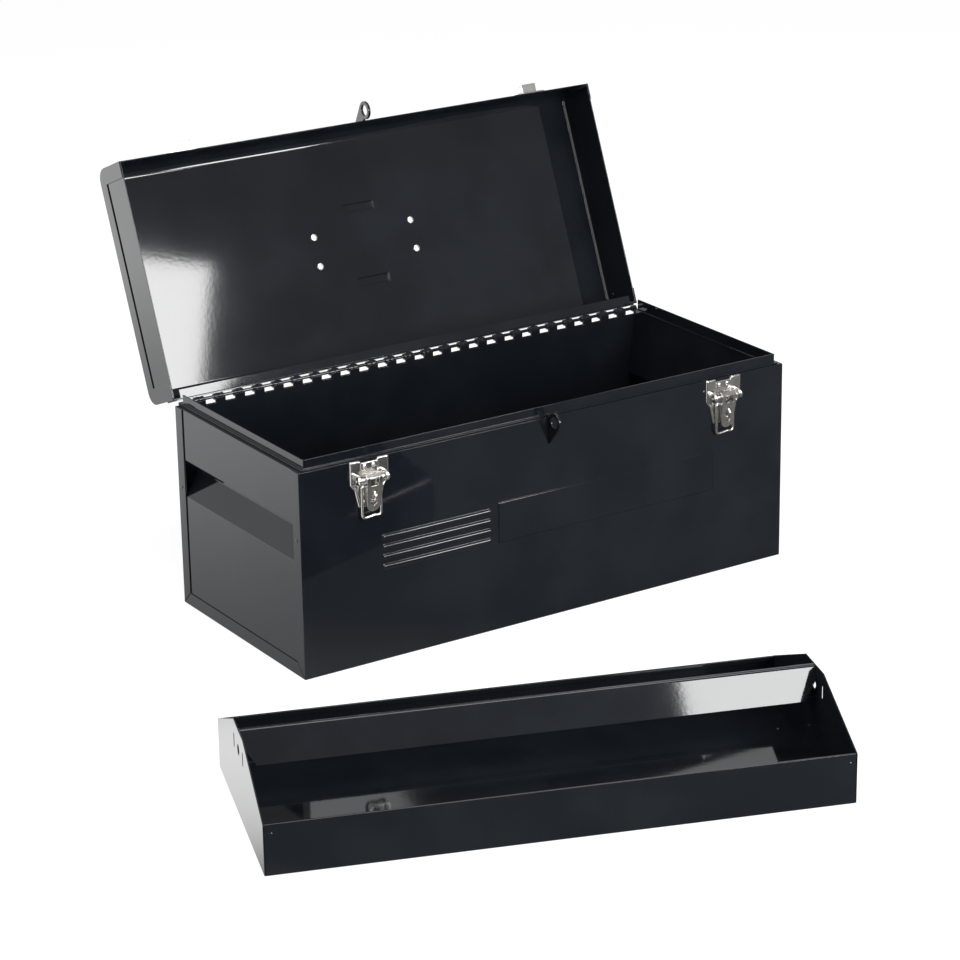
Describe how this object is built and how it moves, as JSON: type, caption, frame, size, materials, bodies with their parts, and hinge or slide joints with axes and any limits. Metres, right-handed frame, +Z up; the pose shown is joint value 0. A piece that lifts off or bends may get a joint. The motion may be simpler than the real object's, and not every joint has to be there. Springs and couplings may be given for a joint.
{
  "type": "machinist tool chest",
  "caption": "Black sheet-steel machinist tool chest with a hinged lid standing open, draw latches, padlock eyes, end handholds, a carry handle on the lid and a lift-out tote tray.",
  "frame": {"origin": "middle of the chest's base, on the floor", "axes": "+Z up, +X along the chest's length to the right as seen from the front, -Y is the front with the latches"},
  "size_m": [0.7172, 0.7953, 0.4068],
  "materials": {
    "black_enamel": "gloss black stoved enamel with a faint orange peel",
    "tray_enamel": "gloss black stoved enamel",
    "nickel_plate": "bright nickel plate on pressed steel",
    "bright_steel": "bright rivet heads and pins"
  },
  "bodies": {
    "chest_body": {"front_panel": "black_enamel", "bottom_panel": "black_enamel", "back_panel": "black_enamel", "end_panel_left": "black_enamel", "end_panel_right": "black_enamel", "handle_band_left": "black_enamel", "handle_band_right": "black_enamel", "rim_frame": "black_enamel", "end_rivets": "black_enamel", "hinge_body_leaf": "black_enamel", "hinge_pin": "black_enamel", "body_padlock_eye": "black_enamel", "latch_plate_left": "nickel_plate", "latch_plate_right": "nickel_plate", "latch_staple_left": "nickel_plate", "latch_staple_right": "nickel_plate", "latch_pins": "bright_steel", "latch_rivets": "nickel_plate"},
    "lid": {"lid_shell": "black_enamel", "lid_end_left": "black_enamel", "lid_end_right": "black_enamel", "lid_end_rivets": "black_enamel", "hinge_lid_leaf": "black_enamel", "lid_padlock_eye": "black_enamel", "catch_left": "nickel_plate", "catch_right": "nickel_plate", "catch_rivets": "nickel_plate", "handle_bracket_left": "black_enamel", "handle_bracket_right": "black_enamel", "handle_rivets": "bright_steel"},
    "carry_bail": {"carry_handle": "black_enamel"},
    "left_lever": {"latch_lever_left": "nickel_plate"},
    "right_lever": {"latch_lever_right": "nickel_plate"},
    "left_loop": {"latch_bail_left": "nickel_plate"},
    "right_loop": {"latch_bail_right": "nickel_plate"},
    "tote_tray": {"tray_pan": "tray_enamel", "tray_end_left": "tray_enamel", "tray_end_right": "tray_enamel", "tray_spine": "tray_enamel", "tray_rivets": "tray_enamel"}
  },
  "joints": [
    {"name": "lid_hinge", "type": "hinge", "parent": "chest_body", "child": "lid", "pos_m": [0, 0.1122, 0.1855], "axis": [1, 0, 0], "range_deg": [0, 112.2]},
    {"name": "carry_handle_swing", "type": "hinge", "parent": "lid", "child": "carry_bail", "pos_m": [0, 0.20399, 0.26922], "axis": [1, 0, 0], "range_deg": [-22.2, 157.8]},
    {"name": "left_latch_lever", "type": "hinge", "parent": "chest_body", "child": "left_lever", "pos_m": [-0.186, -0.1142, 0.17], "axis": [-1, 0, 0], "range_deg": [0, 150]},
    {"name": "right_latch_lever", "type": "hinge", "parent": "chest_body", "child": "right_lever", "pos_m": [0.186, -0.1142, 0.17], "axis": [-1, 0, 0], "range_deg": [0, 150]},
    {"name": "left_latch_loop", "type": "hinge", "parent": "left_lever", "child": "left_loop", "pos_m": [-0.186, -0.1116, 0.163], "axis": [1, 0, 0], "range_deg": [-138, 0]},
    {"name": "right_latch_loop", "type": "hinge", "parent": "right_lever", "child": "right_loop", "pos_m": [0.186, -0.1116, 0.163], "axis": [1, 0, 0], "range_deg": [-138, 0]},
    {"name": "tote_tray_lift", "type": "slide", "parent": "chest_body", "child": "tote_tray", "axis": [0, 0, 1], "range_m": [0, 0.25]}
  ]
}
